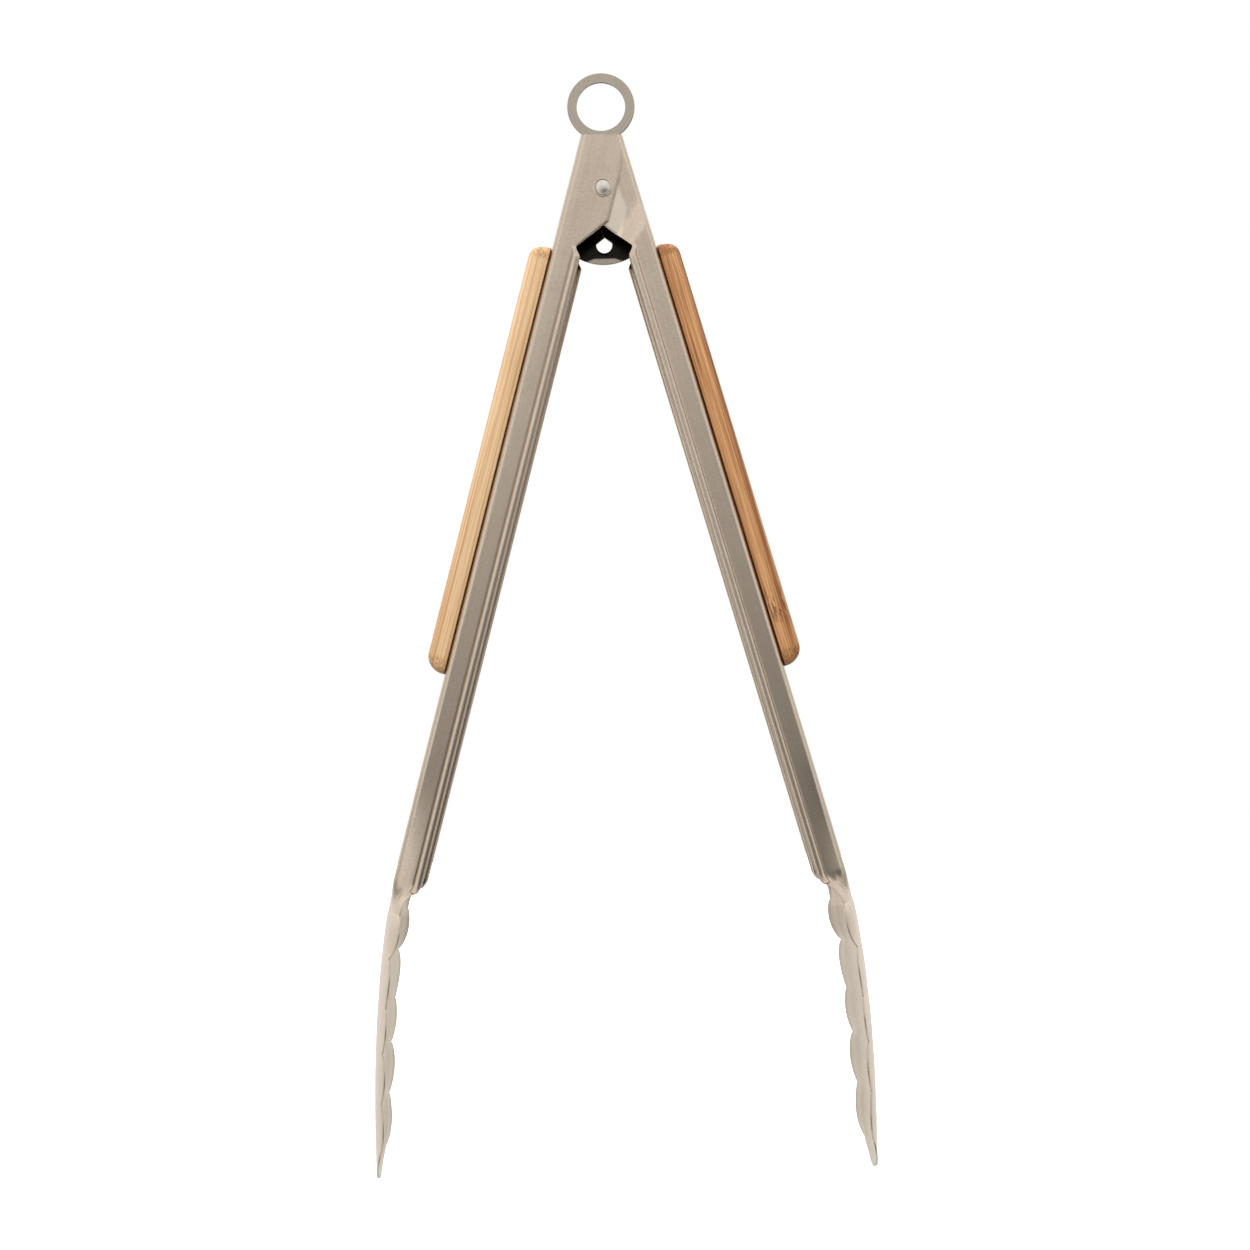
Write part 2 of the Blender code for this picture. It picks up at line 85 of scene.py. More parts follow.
LIP_END = 213.8 * MM
LIP_END_RUN = 0.4 * MM
PULL_START = 176.0 * MM
PULL_END = 213.0 * MM
PULL = 1.1 * MM
NECK_DROP_POWER = 2.4
NECK_START = 211.0 * MM
NECK_END = 220.6 * MM
HEAD_BEND = 223.0 * MM
HEAD_BEND_ROUND = 3.0 * MM
HEAD_SLOPE = 0.124
HEAD_CURVE = 1.3
HEAD_TWIST = 0.068                 # the right head faces a little to the front
DISH_POWER = 2.2
TOOTH_SKEW = 0.82
TOOTH_ROUND = 0.75
TIP_U = 293.8 * MM
NOTCHES = tuple(
    (u * MM, half * MM, depth * MM)
    for u, half, depth in (
        (220.6, 14.6, 4.1),
        (232.6, 15.6, 2.9),
        (246.1, 15.6, 3.2),
        (258.3, 14.8, 2.75),
        (272.0, 13.2, 2.6),
        (286.2, 9.6, 1.75),
    )
)
CRESTS = tuple(
    (half * MM, depth * MM)
    for half, depth in ((18.2, 5.1), (19.0, 3.85), (18.6, 3.8), (17.0, 3.85), (14.2, 3.3))
)

GRIP_START = 32.2 * MM
GRIP_END = 153.7 * MM
GRIP_THICKNESS = 5.55 * MM
GRIP_HALF_WIDTH = 12.3 * MM
GRIP_TOP_RADIUS = 3.8 * MM
GRIP_BOTTOM_RADIUS = 5.0 * MM
GRIP_EDGE_RADIUS = 2.2 * MM
GRIP_SOLE_RADIUS = 0.35 * MM
NODE_PLACE = -124.5 * MM           # the dark bamboo's growth node, from the pivot
SCREW_PLACES = (("upper", 52.0 * MM), ("lower", 134.0 * MM))
SCREW_RADIUS = 1.3 * MM
SCREW_HEAD_RADIUS = 2.6 * MM
SCREW_HEAD_HEIGHT = 1.3 * MM
SCREW_REACH = 3.6 * MM
SCREW_CUT = (-2 * MM, 3 * MM)      # the screw holes' cutters reach from, to

PLATE = 1.2 * MM
RING_HEIGHT = 24.8 * MM
RING_RADIUS = 9.45 * MM
RING_HOLE_RADIUS = 7.0 * MM
NECK_HALF_WIDTH = 4.4 * MM
SHOULDER_TOP = 0.4 * MM
SHOULDER_BOTTOM = -11.0 * MM
FOOT_HALF_WIDTH = 7.7 * MM
FOOT_BOTTOM = -19.7 * MM
FOOT_ARC = 14.0 * MM
SHOULDER_ROUNDS = (1.0 * MM, 1.5 * MM)
SLOT_RADIUS = 2.4 * MM
SLOT_BOTTOM = -14.8 * MM
SLOT_RAMP = 0.75 * MM              # the slot's floor rises by this to the back
PLATE_ROUND = 0.18 * MM
# Painted shade on the plate between the arms, where the wings shade it; the foot's end is left
# at full colour, as if lit through the V-cut.
PLATE_SHADE = tuple((z * MM, level) for z, level in (
    (-20.0, 1.0), (-18.3, 1.0), (-17.8, 0.04), (-8.0, 0.04), (-4.0, 0.6), (4.0, 1.0),
))
# The painted shade reaches lower away from the middle, along the slope of the shadow cast by
# the flanges' V-cut edges.
SHADE_FLAT = 2.9 * MM
SHADE_SLOPE = 0.37
# Painted sheen on a zone of the inner arm's wings, standing in for a tilted facet's brighter
# reflection: its edges as (u, v, slope), and its colour.
SHEEN_LINES = ((13.3 * MM, 5.4 * MM, -0.112), (20.0 * MM, 4.66 * MM, 0.56))
SHEEN_FADE = 0.8 * MM
SHEEN_COLOR = (0.91, 0.79, 0.655)

RIVET_RADIUS = 1.6 * MM
RIVET_HEAD_RADIUS = 2.05 * MM
RIVET_HEAD_HEIGHT = 0.9 * MM
RIVET_HEAD_RIM = 0.1 * MM
RIVET_HEAD_EDGE = 0.05 * MM
RIVET_SEAT_GAP = 0.03 * MM
RIVET_CLEARANCE = 0.1 * MM
SLEEVE_RADIUS = 2.1 * MM
SPACER_RADIUS = 3.2 * MM
WIRE_RADIUS = 0.5 * MM
COIL_RADIUS = 4.05 * MM
COIL_START_Y = 2.2 * MM
COIL_END_Y = 7.7 * MM
COIL_TURNS = 4
LEG_END_U = 36.0 * MM

PIVOT = Vector((0.0, 0.0, -(RING_HEIGHT + RING_HOLE_RADIUS)))
WING_INNER_Y = CHANNEL_WIDTH / 2 - 2 * SHEET - GAP
SIDES = (("left", 0.0, False), ("right", pi, True))

# Half of a channel section.  Each web step is a share of the way to the bend.
WEB_STEPS = (0.0, 0.2, 0.4, 0.6, 0.8, 0.94, 1.0)
BEND_STEPS = 10
# Each flange point: share of the way down, share of the hem's full height.
FLANGE_PROFILE = (
    (0.04, 0.0),
    (0.14, 0.0),
    (0.23, 0.0),
    (0.28, 0.0),
    (0.34, 0.0),
    (0.42, 0.0),
    (0.5, 0.0),
    (0.6, 0.0),
    (0.68, 0.0),
    (0.72, -0.03),
    (0.742, -0.14),
    (0.757, -0.16),
    (0.764, 0.1),
    (0.773, 0.45),
    (0.792, 0.72),
    (0.82, 0.87),
    (0.86, 0.97),
    (0.93, 1.03),
    (1.0, 0.96),
)
EDGE_ANGLES = (65.0, 40.0, 15.0)
# How the flange's shares map to shares of a head's half width.
FLANGE_TO_DISH = (
    (0.0, 0.6),
    (0.23, 0.68),
    (0.34, 0.75),
    (0.66, 0.82),
    (0.72, 0.9),
    (0.94, 0.96),
    (1.0, 1.0),
)
WEB_TO_DISH = 0.32
BEND_TO_DISH = (0.32, 0.5, 0.6)
HEAD_EDGE_ROUND = 0.2 * MM
EDGE_THINNING = 0.5                # the sheet is drawn thinner to the head's edge
THINNING_START = 0.72


# ---------------------------------------------------------------- helpers


def smooth_step(low, high, value):
    t = min(1.0, max(0.0, (value - low) / (high - low)))
    return t * t * (3.0 - 2.0 * t)


def mix(a, b, t):
    return a + (b - a) * t


def along(table, value):
    """Read a table of (key, value) pairs, linear in between."""
    for (low, first), (high, second) in zip(table, table[1:]):
        if value <= high:
            return mix(first, second, (value - low) / (high - low))
    return table[-1][1]


def mesh_from(name, points, faces, smooth_angle=32.0):
    mesh = bpy.data.meshes.new(name)
    mesh.from_pydata(points, [], faces)
    work = bmesh.new()
    work.from_mesh(mesh)
    bmesh.ops.recalc_face_normals(work, faces=work.faces)
    work.to_mesh(mesh)
    work.free()
    mesh.shade_smooth()
    mesh.set_sharp_from_angle(angle=radians(smooth_angle))
    return mesh


def settle(mesh, place):
    """Move a mesh to its place, and keep its own coordinates for its grain."""
    own = mesh.attributes.new("own_place", "FLOAT_VECTOR", "POINT")
    values = [part for vertex in mesh.vertices for part in vertex.co]
    own.data.foreach_set("vector", values)
    mesh.transform(place)


def add_object(name, mesh, finish, place):
    settle(mesh, place)
    made = bpy.data.objects.new(name, mesh)
    mesh.materials.append(finish)
    bpy.context.scene.collection.objects.link(made)
    return made


def add_piece(name, mesh, body, finish, place, node=None):
    """Link a mesh as a piece of the object, riding on a body."""
    made = add_object(name, mesh, finish, place)
    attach(made, body)
    if node:
        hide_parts(node)
    return made


def arm_place(turn):
    turned = Euler((0.0, OPEN_ANGLE, turn)).to_matrix().to_4x4()
    return Matrix.Translation(PIVOT) @ turned


def on_arm(turn, u, v):
    """Place of a turned piece on the arm, its own +Z pointing inwards."""
    shift = Matrix.Translation((v - PIVOT_V, 0.0, PIVOT_U - u))
    return arm_place(turn) @ shift @ Matrix.Rotation(pi / 2, 4, "Y")


def facing_front():
    """Place of a piece turned so that its +Z points to the front, at the pivot."""
    return Matrix.Translation(PIVOT) @ Matrix.Rotation(pi / 2, 4, "X")


def loft(name, loops, smooth_angle=32.0):
    """Join closed loops of equal length, with quads across both ends."""
    points = [point for loop in loops for point in loop]
    count = len(loops[0])
    faces = []
    for row in range(len(loops) - 1):
        here = row * count
        after = here + count
        for k in range(count):
            near = (k + 1) % count
            faces.append((here + k, here + near, after + near, after + k))
    for base in (0, (len(loops) - 1) * count):
        for k in range(count // 2 - 1):
            faces.append((
                base + k, base + k + 1, base + count - 2 - k, base + count - 1 - k,
            ))
    return mesh_from(name, points, faces, smooth_angle)


def lathe(name, profile, steps=72):
    """Turn a profile of (radius, height) points about the Z axis."""
    points = []
    rings = []
    for radius, height in profile:
        if radius == 0.0:
            rings.append([len(points)] * steps)
            points.append((0.0, 0.0, height))
            continue
        rings.append(list(range(len(points), len(points) + steps)))
        for k in range(steps):
            angle = 2 * pi * (k + 0.5) / steps
            points.append((radius * cos(angle), radius * sin(angle), height))
    faces = []
    count = len(rings)
    for i in range(count):
        here = rings[i]
        after = rings[(i + 1) % count]
        for k in range(steps):
            near = (k + 1) % steps
            corners = []
            for corner in (here[k], here[near], after[near], after[k]):
                if corner not in corners:
                    corners.append(corner)
            if len(corners) > 2:
                faces.append(corners)
    return mesh_from(name, points, faces)


def cut_out(mesh, cutters):
    """Take cutter meshes, given with their places, out of a mesh for good."""
    body = bpy.data.objects.new("cut_body", mesh)
    bpy.context.scene.collection.objects.link(body)
    helpers = [body]
    for number, (cutter, place) in enumerate(cutters):
        tool = bpy.data.objects.new("cut_tool", cutter)
        bpy.context.scene.collection.objects.link(tool)
        tool.matrix_world = place
        modifier = body.modifiers.new(str(number), "BOOLEAN")
        modifier.operation = "DIFFERENCE"
        modifier.solver = "EXACT"
        modifier.object = tool
        helpers.append(tool)
    bpy.context.view_layer.update()
    graph = bpy.context.evaluated_depsgraph_get()
    result = bpy.data.meshes.new_from_object(body.evaluated_get(graph))
    for helper in helpers:
        bpy.data.objects.remove(helper, do_unlink=True)
    return result


# ---------------------------------------------------------------- arms


def edge_depth(u, wing):
    """Depth of the flange's free edge: wing, slanted cut, then hemmed lip."""
    if u < WING_TOP:
        return wing - WING_TOP_DROP * (1.0 - sqrt(u / WING_TOP))
    if u <= CUT_END:
        down = (u - CUT_START) / (CUT_END - CUT_START)
        slant = mix(CUT_START_DEPTH, CUT_DEPTH, down)
        apart = wing - slant
        return 0.5 * (wing + slant - sqrt(apart * apart + CUT_CORNER ** 2))
    if u <= LIP_END:
        return mix(CUT_DEPTH, FLANGE_DEPTH, smooth_step(CUT_END, HEM_START, u))
    left = max(0.0, (NECK_END - u) / (NECK_END - LIP_END))
    return mix(NOTCHES[0][2], FLANGE_DEPTH, left ** NECK_DROP_POWER)


def hem_share(u):
    """Share of the hem's height: none on the wing and none beyond the lip."""
    ended = smooth_step(LIP_END, LIP_END + LIP_END_RUN, u)
    return smooth_step(CUT_END, HEM_START, u) * (1.0 - ended)


def half_channel(u, v, inner):
    """Half the channel's width at (u, v); the inner wings' end is narrower."""
    if not inner:
        return CHANNEL_WIDTH / 2
    end = STEP_END + STEP_END_SLOPE * max(0.0, v - BEND_RADIUS)
    return CHANNEL_WIDTH / 2 - STEP_IN * (1.0 - smooth_step(end, end + STEP_FADE, u))


def top_shift(v):
    corner = max(0.0, v - TOP_CORNER_DEPTH)
    return -TOP_SLOPE * v + TOP_CORNER_CURVE * corner * corner


def scallop(u):
    """Half width and edge depth of the head at u: round teeth, sharp notches."""
    last = NOTCHES[-1]
    if u >= last[0]:
        t = (u - last[0]) / (TIP_U - last[0])
        return last[1] * sqrt(max(0.0, 1.0 - t * t)), last[2] * (1.0 - t)
    for start, end, crest in zip(NOTCHES, NOTCHES[1:], CRESTS):
        if u <= end[0]:
            break
    t = max(0.0, (u - start[0]) / (end[0] - start[0]))
    swell = sin(pi * t ** TOOTH_SKEW) ** TOOTH_ROUND
    half = mix(mix(start[1], end[1], t), crest[0], swell)
    depth = mix(mix(start[2], end[2], t), crest[1], swell)
    return half, depth


def spine(u):
    x = u - HEAD_BEND
    ramp = 0.5 * (x + sqrt(x * x + HEAD_BEND_ROUND ** 2))
    return HEAD_SLOPE * ramp + HEAD_CURVE * ramp * ramp


def rounded_edge(end, along_sheet, into_sheet, thickness, radius):
    """Points round a sheet's free edge: outer half, then inner half."""
    outer = []
    inner = []
    for degrees in EDGE_ANGLES:
        back = radius * (1.0 - cos(radians(degrees)))
        side = radius * (1.0 - sin(radians(degrees)))
        for points, depth in ((outer, side), (inner, thickness - side)):
            points.append((
                end[0] - along_sheet[0] * back + into_sheet[0] * depth,
                end[1] - along_sheet[1] * back + into_sheet[1] * depth,
            ))
    return outer, inner


def wall_pull(u, v):
    """How far the channel's wall leans in at depth v, most of all at the web."""
    left = max(0.0, 1.0 - v / FLANGE_DEPTH)
    return PULL * smooth_step(PULL_START, PULL_END, u) * left * left


def pulled(u, points):
    """Points of a half section after the wall's lean, the web's ones in step."""
    flat = max(y for y, v in points if v <= SHEET)
    return [(y - wall_pull(u, v) * min(1.0, y / flat), v) for y, v in points]


def channel_section(u, within):
    """Outer and inner points of half a channel section, from web to edge."""
    depth = edge_depth(u, INNER_WING_DEPTH if within else OUTER_WING_DEPTH)
    hem_on = hem_share(u)
    flat = half_channel(u, BEND_RADIUS, within) - BEND_RADIUS
    outer = [(flat * share, 0.0) for share in WEB_STEPS]
    inner = [(flat * share, SHEET) for share in WEB_STEPS]
    small = BEND_RADIUS - SHEET
    for step in range(1, BEND_STEPS + 1):
        angle = pi / 2 * step / BEND_STEPS
        outer.append((
            flat + BEND_RADIUS * sin(angle), BEND_RADIUS * (1.0 - cos(angle)),
        ))
        inner.append((flat + small * sin(angle), BEND_RADIUS - small * cos(angle)))
    thickness = SHEET + HEM_HEIGHT * hem_on
    radius = mix(EDGE_ROUND, 0.49 * (SHEET + HEM_HEIGHT), hem_on)
    reach = depth - radius
    for share, hem in FLANGE_PROFILE:
        v = mix(BEND_RADIUS, reach, share)
        wall = half_channel(u, v, within)
        outer.append((wall + hem * HEM_HEIGHT * hem_on, v))
        inner.append((wall - SHEET, v))
    end = (wall + HEM_HEIGHT * hem_on, depth)
    more = rounded_edge(end, (0.0, 1.0), (-1.0, 0.0), thickness, radius)
    return pulled(u, outer + more[0]), pulled(u, inner + more[1])


def dish_shares():
    """Shares of the half width that match the channel section's points."""
    shares = [WEB_TO_DISH * share for share in WEB_STEPS]
    low, middle, high = BEND_TO_DISH
    for step in range(1, BEND_STEPS + 1):
        part = 2.0 * step / BEND_STEPS
        bent = mix(low, middle, part) if part < 1.0 else mix(middle, high, part - 1.0)
        shares.append(bent)
    return shares + [along(FLANGE_TO_DISH, row[0]) for row in FLANGE_PROFILE]


DISH_SHARES = dish_shares()


def dish_section(u):
    """Outer and inner points of half a head section, from spine to edge."""
    half, depth = scallop(u)
    start = spine(u)
    outer = []
    inner = []
    radius = min(HEAD_EDGE_ROUND, 0.3 * half)
    for share in DISH_SHARES:
        slope = atan(DISH_POWER * depth * share ** (DISH_POWER - 1.0) / half)
        y = half * share
        v = start + depth * share ** DISH_POWER
        if share == 1.0:
            y -= radius * cos(slope)
            v -= radius * sin(slope)
        thin = SHEET * (1.0 - EDGE_THINNING * smooth_step(THINNING_START, 1.0, share))
        outer.append((y, v))
        inner.append((y - thin * sin(slope), v + thin * cos(slope)))
    more = rounded_edge(
        (half, start + depth),
        (cos(slope), sin(slope)),
        (-sin(slope), cos(slope)),
        thin,
        radius,
    )
    return outer + more[0], inner + more[1]


def arm_section(u, within):
    share = smooth_step(NECK_START, NECK_END, u)
    if share == 0.0:
        return channel_section(u, within)
    if share == 1.0:
        return dish_section(u)
    channel = channel_section(u, within)
    dish = dish_section(max(u, NOTCHES[0][0]))
    return [
        [(mix(a[0], b[0], share), mix(a[1], b[1], share)) for a, b in zip(one, two)]
        for one, two in zip(channel, dish)
    ]


def spread(start, end, steps):
    """Even stations from start up to but not including the end, in metres."""
    return [mix(start, end, k / steps) * MM for k in range(steps)]


def arm_rows():
    """Stations along the arm, closer together where its shape changes."""
    rows = [row * MM for row in (0.0, 0.04, 0.15, 0.35, 0.65, 1.0)]
    rows += spread(1.5, 8.0, 8) + spread(8.0, 12.0, 8) + spread(12.0, 20.0, 5)
    rows += spread(20.0, 24.0, 14) + spread(24.0, 34.0, 24)
    rows += spread(34.0, 174.0, 12) + spread(174.0, 211.0, 20) + spread(211.0, 213.8, 8)
    rows += spread(213.8, 214.6, 6) + spread(214.6, 220.6, 13)
    for start, end in zip(NOTCHES, NOTCHES[1:]):
        for k in range(26):
            part = 0.5 - 0.5 * cos(pi * k / 26)
            rows.append(mix(start[0], end[0], mix(k / 26, part, 0.7)))
    for k in range(22):
        rows.append(mix(NOTCHES[-1][0], TIP_U, sin(pi / 2 * 0.985 * k / 21)))
    return rows


def arm_mesh(name, within):
    """Loft the arm's sheet from its sections, about the pivot as origin."""
    loops = []
    for u in arm_rows():
        twist = HEAD_TWIST * smooth_step(NECK_START, HEAD_BEND, u) if within else 0.0
        outer, inner = arm_section(u, within)
        outline = [(-y, v) for y, v in reversed(outer[1:])] + outer
        outline += list(reversed(inner)) + [(-y, v) for y, v in inner[1:]]
        fade = max(0.0, 1.0 - u / TOP_LEAN_END)
        loops.append([
            (v - twist * y - PIVOT_V, y, PIVOT_U - u - top_shift(v) * fade)
            for y, v in outline
        ])
    return loft(name, loops)


def hole_cutters():
    """The rivet's hole and the screws' holes, in arm coordinates."""
    reach = CHANNEL_WIDTH
    radius = RIVET_RADIUS + RIVET_CLEARANCE
    rivet = lathe("hole", ((0.0, -reach), (radius, -reach), (radius, reach), (0.0, reach)))
    cutters = [(rivet, Matrix.Rotation(pi / 2, 4, "X"))]
    radius = SCREW_RADIUS + GAP
    low, high = SCREW_CUT
    for _, u in SCREW_PLACES:
        hole = lathe("hole", ((0.0, low), (radius, low), (radius, high), (0.0, high)), 32)
        shift = Matrix.Translation((-PIVOT_V, 0.0, PIVOT_U - u))
        cutters.append((hole, shift @ Matrix.Rotation(pi / 2, 4, "Y")))
    return cutters


def mark_inside(mesh):
    """Painted shade: the channel's inner faces above the hem's start get a dark copy of the
    steel, and the heads' inner faces a darker copy.
    """
    for face in mesh.polygons:
        if face.center.z < PIVOT_U - HEAD_BEND and face.normal.x > 0.3:
            face.material_index = 2
        wall = face.normal.y * face.center.y < 0.0 and abs(face.normal.y) > 0.7
        web = face.normal.x > 0.7 and face.center.x < 1.5 * SHEET - PIVOT_V
        if (wall or web) and face.center.z > PIVOT_U - HEM_START:
            face.material_index = 1


def build_arms(steels, shaded_inside, shaded_bowl):
    """Both arms, each with its own steel outside and two painted-shade copies of it on its
    inner faces.
    """
    for (side, turn, within), steel in zip(SIDES, steels):
        node = side + "_arm"
        mesh = cut_out(arm_mesh(node, within), hole_cutters())
        mesh.name = node + "_sheet"
        mesh.materials.clear()
        mark_inside(mesh)
        made = add_piece(
            node + "_sheet", mesh, node, steel, arm_place(turn), node
        )
        made.data.materials.append(shaded_inside)
        made.data.materials.append(shaded_bowl)


# ---------------------------------------------------------------- grips


def grip_stations():
    """(u, height) of the grip's outer line from end to end."""
    stations = []
    steps = 18
    for step in range(steps + 1):
        angle = pi / 2 * (1.0 - step / steps)
        stations.append((
            GRIP_START + GRIP_TOP_RADIUS * (1.0 - sin(angle)),
            GRIP_THICKNESS - GRIP_TOP_RADIUS * (1.0 - cos(angle)),
        ))
    stations += [(u, GRIP_THICKNESS) for u in spread(44.0, 146.0, 9)]
    for step in range(steps + 1):
        angle = pi / 2 * step / steps
        stations.append((
            GRIP_END - GRIP_BOTTOM_RADIUS * (1.0 - sin(angle)),
            GRIP_THICKNESS - GRIP_BOTTOM_RADIUS * (1.0 - cos(angle)),
        ))
    return stations


def grip_loop(u, height):
    """Cross-section of the grip at u, with round edges and a small sole round."""
    from_end = min(u - GRIP_START, GRIP_END - u, GRIP_EDGE_RADIUS)
    lack = GRIP_EDGE_RADIUS - from_end
    inset = GRIP_EDGE_RADIUS - sqrt(max(0.0, GRIP_EDGE_RADIUS ** 2 - lack ** 2))
    half = GRIP_HALF_WIDTH - inset
    radius = min(GRIP_EDGE_RADIUS, 0.8 * height)
    sole = min(GRIP_SOLE_RADIUS, 0.15 * height)
    side = []
    for step in range(4):
        angle = pi / 2 * step / 3
        side.append((-half + sole * (1.0 - sin(angle)), sole * (1.0 - cos(angle))))
    for step in range(11):
        angle = pi / 2 * step / 10
        side.append((
            -half + radius * (1.0 - cos(angle)), height - radius * (1.0 - sin(angle)),
        ))
    outline = side + [(-y, h) for y, h in reversed(side)]
    return [(-GAP - h - PIVOT_V, y, PIVOT_U - u) for y, h in outline]


def build_grips(woods):
    for (side, turn, _), (slot, wood) in zip(SIDES, woods):
        loops = [grip_loop(u, height) for u, height in grip_stations()]
        mesh = loft(side + "_grip_wood", loops, 40.0)
        name = side + "_grip"
        add_piece(name + "_wood", mesh, side + "_arm", wood, arm_place(turn), name)


def screw_mesh(name):
    """Pan-head screw with a cross recess and a fine thread on its shank."""
    seat = SHEET + GAP
    profile = [(0.0, -SCREW_REACH), (0.25 * SCREW_RADIUS, -SCREW_REACH)]
    turns = 5
    low = -SCREW_REACH + 0.5 * MM
    for k in range(turns):
        base = mix(low, seat - 0.6 * MM, k / turns)
        pitch = (seat - 0.6 * MM - low) / turns
        profile.append((0.78 * SCREW_RADIUS, base))
        profile.append((SCREW_RADIUS, base + 0.5 * pitch))
    profile += [(0.8 * SCREW_RADIUS, seat - 0.6 * MM), (0.8 * SCREW_RADIUS, seat)]
    rim = 0.35 * SCREW_HEAD_HEIGHT
    profile += [(0.95 * SCREW_HEAD_RADIUS, seat), (SCREW_HEAD_RADIUS, seat + 0.06 * MM)]
    for step in range(9):
        angle = pi / 2 * step / 8
        profile.append((
            SCREW_HEAD_RADIUS * cos(angle),
            seat + rim + (SCREW_HEAD_HEIGHT - rim) * sin(angle),
        ))
    profile[-1] = (0.0, seat + SCREW_HEAD_HEIGHT)
    body = lathe(name, profile, 36)
    top = seat + SCREW_HEAD_HEIGHT
    cutters = []
    for turn in (0.0, pi / 2):
        blade = cross_blade(top)
        cutters.append((blade, Matrix.Rotation(turn + pi / 4, 4, "Z")))
    return cut_out(body, cutters)


def cross_blade(top):
    """One tapered bar of the cross recess."""
    wide = 1.45 * MM
    deep = 0.75 * MM
    thick = 0.26 * MM
    over = 0.3 * MM
    points = []
    for x, y, z in (
        (0.35 * wide, 0.7 * thick, top - deep), (wide, thick, top + over),
    ):
        points += [(x, y, z), (-x, y, z), (-x, -y, z), (x, -y, z)]
    faces = [(0, 1, 2, 3), (4, 5, 6, 7)]
    faces += [(k, (k + 1) % 4, (k + 1) % 4 + 4, k + 4) for k in range(4)]
    return mesh_from("blade", points, faces)


def build_screws(steel):
    for side, turn, _ in SIDES:
        for place, u in SCREW_PLACES:
            node = side + "_grip_screw_" + place
            add_piece(
                node + "_turned",
                screw_mesh(node + "_turned"),
                side + "_arm",
                steel,
                on_arm(turn, u, 0.0),
                node,
            )


# ---------------------------------------------------------------- pivot


def rivet_mesh(name):
    """Rivet with a polished dome in front and a flatter formed head behind."""
    seat = CHANNEL_WIDTH / 2 + RIVET_SEAT_GAP
    rim = RIVET_HEAD_RIM
    edge = RIVET_HEAD_EDGE
    dome = []
    for step in range(13):
        angle = pi / 2 * step / 12
        dome.append((
            RIVET_HEAD_RADIUS * sin(angle),
            seat + rim + (RIVET_HEAD_HEIGHT - rim) * cos(angle),
        ))
    front = list(reversed(dome))
    front.insert(0, (RIVET_HEAD_RADIUS, seat + edge))
    front.insert(0, (RIVET_HEAD_RADIUS - edge, seat))
    back = []
    for step in range(13):
        angle = pi / 2 * step / 12
        back.append((
            RIVET_HEAD_RADIUS * sin(angle) ** 0.8,
            -seat - rim - (RIVET_HEAD_HEIGHT - rim) * cos(angle),
        ))
    back.append((RIVET_HEAD_RADIUS, -seat - edge))
    back.append((RIVET_HEAD_RADIUS - edge, -seat))
    profile = back + [(RIVET_RADIUS, -seat), (RIVET_RADIUS, seat)] + front
    return lathe(name, profile, 96)


def tube(name, inner, outer, low, high):
    round_off = 0.12 * MM
    profile = (
        (inner, low + round_off),
        (inner + round_off, low),
        (outer - round_off, low),
        (outer, low + round_off),
        (outer, high - round_off),
        (outer - round_off, high),
        (inner + round_off, high),
        (inner, high - round_off),
    )
    return lathe(name, profile)


def coined_ring(name):
    """Low ridge that the riveting leaves in the sheet round the head."""
    seat = CHANNEL_WIDTH / 2
    profile = (
        (RIVET_HEAD_RADIUS + 0.12 * MM, seat - 0.1 * MM),
        (RIVET_HEAD_RADIUS + 0.12 * MM, seat + 0.01 * MM),
        (RIVET_HEAD_RADIUS + 0.25 * MM, seat + 0.06 * MM),
        (RIVET_HEAD_RADIUS + 0.42 * MM, seat + 0.06 * MM),
        (RIVET_HEAD_RADIUS + 0.6 * MM, seat + 0.005 * MM),
        (RIVET_HEAD_RADIUS + 0.6 * MM, seat - 0.1 * MM),
    )
    return lathe(name, profile, 96)


def coil_path():
    """Wire path round the pivot: left leg, coil over the top, right leg."""
    across = PIVOT_V - SHEET - GAP - WIRE_RADIUS
    down = LEG_END_U - PIVOT_U
    end_x = across * cos(OPEN_ANGLE) + down * sin(OPEN_ANGLE)
    end_z = across * sin(OPEN_ANGLE) - down * cos(OPEN_ANGLE)
    lean = acos(COIL_RADIUS / hypot(end_x, end_z))
    first = atan2(end_z, -end_x) + 2 * pi - lean
    last = atan2(end_z, end_x) + lean
    sweep = first - last + 2 * pi * COIL_TURNS
    steps = 48 * (COIL_TURNS + 1)
    path = []
    start = Vector((COIL_RADIUS * cos(first), COIL_START_Y, COIL_RADIUS * sin(first)))
    foot = Vector((-end_x, COIL_START_Y, end_z))
    path += [foot.lerp(start, k / 12) for k in range(12)]
    for k in range(steps + 1):
        angle = first - sweep * k / steps
        y = mix(COIL_START_Y, COIL_END_Y, k / steps)
        path.append(Vector((COIL_RADIUS * cos(angle), y, COIL_RADIUS * sin(angle))))
    foot = Vector((end_x, COIL_END_Y, end_z))
    path += [path[-1].lerp(foot, k / 12) for k in range(1, 13)]
    return path


def wire_mesh(name, path, radius, sides=12):
    """Round wire along a path, with slightly rounded ends."""
    tangents = []
    for k in range(len(path)):
        ahead = path[min(k + 1, len(path) - 1)]
        behind = path[max(k - 1, 0)]
        tangents.append((ahead - behind).normalized())
    across = tangents[0].cross(Vector((0.0, 1.0, 0.0))).normalized()
    loops = []
    for point, tangent in zip(path, tangents):
        across = (across - tangent * across.dot(tangent)).normalized()
        up = tangent.cross(across)
        loops.append([
            point + radius * (across * cos(2 * pi * k / sides) + up * sin(2 * pi * k / sides))
            for k in range(sides)
        ])
    for end, sign in ((0, -1.0), (-1, 1.0)):
        centre = path[end]
        tip = [
            centre + (place - centre) * 0.7 + tangents[end] * sign * 0.3 * radius
            for place in loops[end]
        ]
        if end == 0:
            loops.insert(0, tip)
        else:
            loops.append(tip)
    return loft(name, [[tuple(place) for place in loop] for loop in loops], 50.0)


